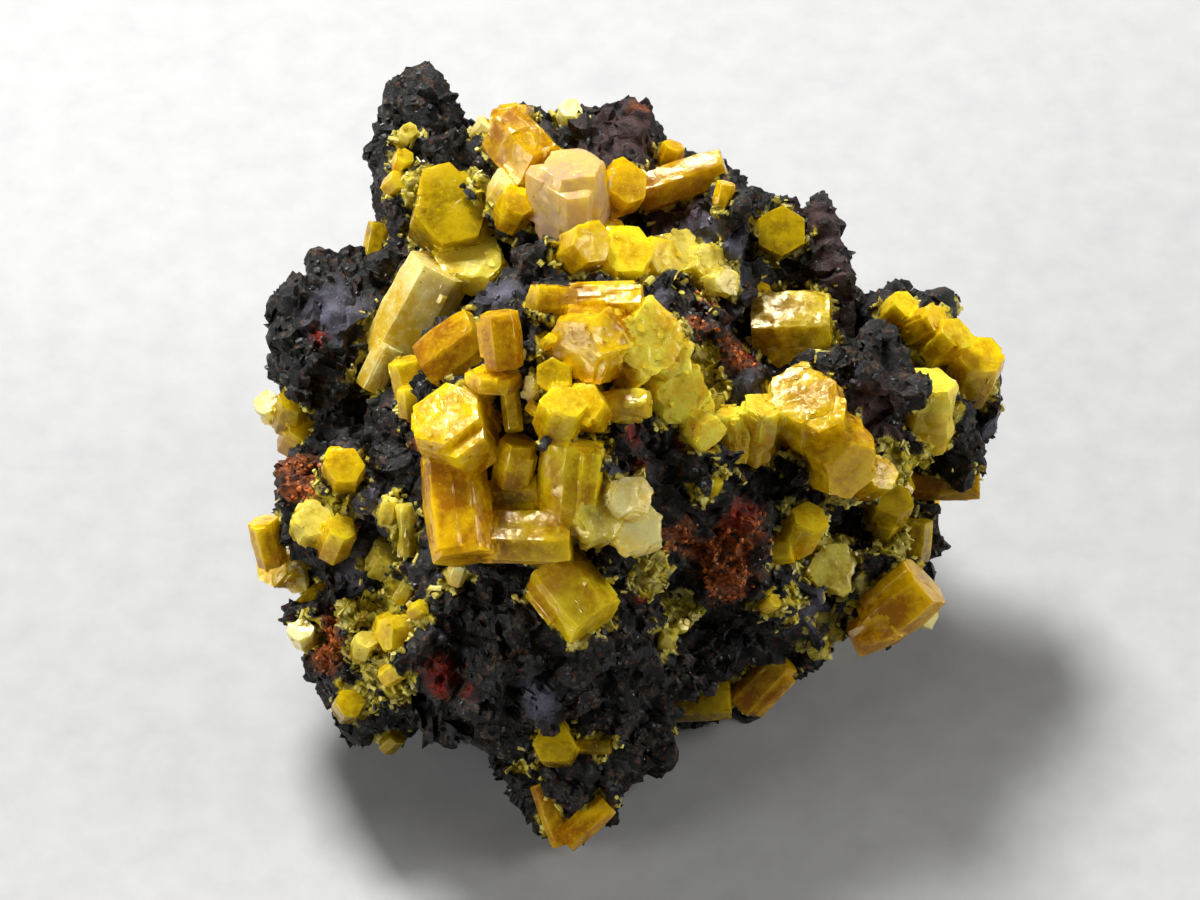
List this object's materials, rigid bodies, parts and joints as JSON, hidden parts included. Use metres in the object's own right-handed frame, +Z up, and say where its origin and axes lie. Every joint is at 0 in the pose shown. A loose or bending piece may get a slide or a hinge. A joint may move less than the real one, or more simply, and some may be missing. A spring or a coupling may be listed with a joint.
{
  "type": "mimetite cluster",
  "caption": "Loose mineral specimen: honey-yellow six-sided mimetite crystals grown in clusters over a craggy lump of dark iron-rich rock, resting on a flat patch.",
  "frame": {"origin": "a point near the middle of the flat patch that the rock rests on", "axes": "+Z up out of the resting patch; +X to the right and +Y away from someone who looks at the best side"},
  "size_m": [0.0383, 0.0363, 0.0279],
  "materials": {
    "gossan": "rough, broken, with glinting specks",
    "mimetite": "resinous, smooth crystal faces"
  },
  "bodies": {
    "root": {"back_crystal_3": "mimetite", "back_crystal_4": "mimetite", "back_crystals_1": "mimetite", "back_crystals_2": "mimetite", "centre_crystals_1": "mimetite", "crest_crystal_2": "mimetite", "crest_crystal_3": "mimetite", "crest_crystals_1": "mimetite", "foot_crystal_1": "mimetite", "foot_crystals_2": "mimetite", "gossan_matrix": "gossan", "ledge_crystal_1": "mimetite", "ledge_crystal_2": "mimetite", "left_crystal_3": "mimetite", "left_crystals_1": "mimetite", "left_crystals_2": "mimetite", "left_crystals_4": "mimetite", "left_side_crystal_2": "mimetite", "left_side_crystals_1": "mimetite", "left_side_crystals_3": "mimetite", "left_side_crystals_4": "mimetite", "lower_left_crystal_2": "mimetite", "lower_left_crystal_3": "mimetite", "lower_left_crystal_4": "mimetite", "lower_left_crystal_5": "mimetite", "lower_left_crystals_1": "mimetite", "lower_right_crystal_4": "mimetite", "lower_right_crystals_1": "mimetite", "lower_right_crystals_2": "mimetite", "lower_right_crystals_3": "mimetite", "right_crystal_3": "mimetite", "right_crystal_5": "mimetite", "right_crystal_6": "mimetite", "right_crystals_1": "mimetite", "right_crystals_2": "mimetite", "right_crystals_4": "mimetite", "right_flank_crystal_1": "mimetite", "right_flank_crystal_2": "mimetite", "spur_crystal_1": "mimetite", "upper_crystals_1": "mimetite"}
  },
  "joints": []
}
